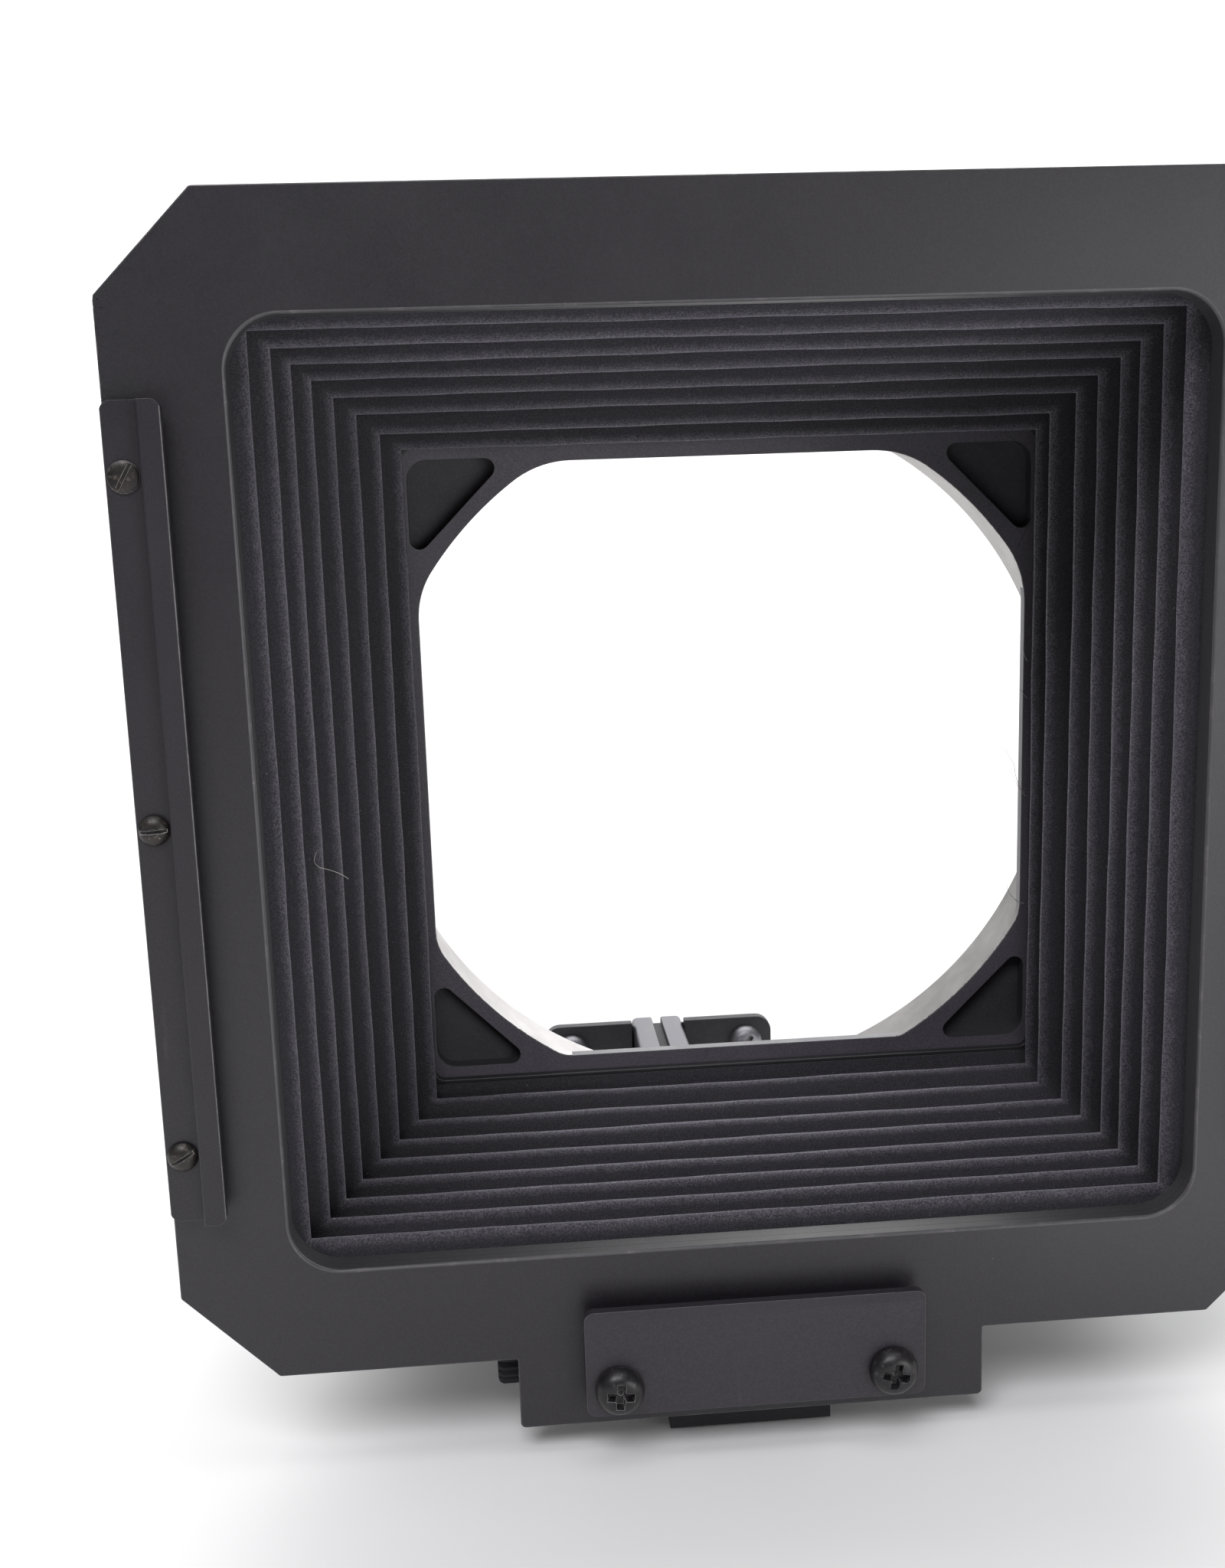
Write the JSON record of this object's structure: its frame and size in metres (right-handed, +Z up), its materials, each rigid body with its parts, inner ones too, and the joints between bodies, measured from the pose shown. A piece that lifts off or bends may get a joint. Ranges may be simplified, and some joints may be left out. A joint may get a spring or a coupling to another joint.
{
  "type": "bellows lens hood",
  "caption": "Square compendium lens hood: chamfered front plate with mask rails, pleated cloth bellows, moulded rear frame and a rail with a locking carriage.",
  "frame": {"origin": "bottom centre of the bounding box, on the surface that the hood stands on", "axes": "+Z up, optical axis along Y with the open window facing -Y, +X to the right seen from the front"},
  "size_m": [0.129, 0.114, 0.1408],
  "materials": {
    "black_plate": "satin black anodised sheet",
    "black_moulded": "matt black moulding",
    "bellows_cloth": "matt black pleated cloth",
    "black_screw": "black oxide, semi gloss",
    "worn_screw": "brown-black, worn",
    "rail_metal": "satin",
    "brass": "plain"
  },
  "bodies": {
    "rear": {"bellows": "bellows_cloth", "rear_frame": "black_moulded", "bellows_rear_clamp": "black_moulded", "rear_bracket": "black_moulded", "bracket_screw_left": "black_screw", "bracket_screw_right": "black_screw", "bracket_shoe": "brass"},
    "front": {"front_plate": "black_plate", "window_frame": "black_plate", "bellows_front_clamp": "black_moulded", "mask_rail_left": "black_plate", "mask_rail_right": "black_plate", "mask_stop": "black_plate", "mask_stop_screw_left": "black_screw", "mask_stop_screw_right": "black_screw", "front_carriage": "black_moulded", "rail_keeper": "black_plate", "keeper_screw_left": "black_screw", "keeper_screw_right": "black_screw", "clamp_shoe": "brass", "rail": "rail_metal", "rail_foot_plate": "black_plate", "rail_end_block": "black_moulded", "foot_screw_left": "rail_metal", "foot_screw_right": "rail_metal", "rail_screw_left_1": "worn_screw", "rail_screw_left_2": "worn_screw", "rail_screw_left_3": "worn_screw", "rail_screw_right_1": "worn_screw", "rail_screw_right_2": "worn_screw", "rail_screw_right_3": "worn_screw"},
    "lock": {"lock_knob": "black_plate", "lock_screw": "rail_metal"},
    "adapter_lock": {"adapter_screw": "black_plate"},
    "slide_lock": {"slide_lock_screw": "black_plate"}
  },
  "joints": [
    {"name": "front_slide", "type": "slide", "parent": "rear", "child": "front", "axis": [0, 1, 0], "range_m": [-0.02, 0.034], "deforming": ["bellows"]},
    {"name": "lock_knob_turn", "type": "hinge", "parent": "front", "child": "lock", "pos_m": [-0.02, -0.04341, 0.0111], "axis": [1, 0, 0], "range_deg": [0, 270]},
    {"name": "adapter_screw_turn", "type": "hinge", "parent": "rear", "child": "adapter_lock", "pos_m": [0.04835, 0.01769, 0.1203], "axis": [0, 0, 1], "range_deg": [0, 270]},
    {"name": "slide_lock_turn", "type": "hinge", "parent": "rear", "child": "slide_lock", "pos_m": [0, 0.02019, 0.0043], "axis": [0, 0, -1], "range_deg": [0, 270]}
  ]
}
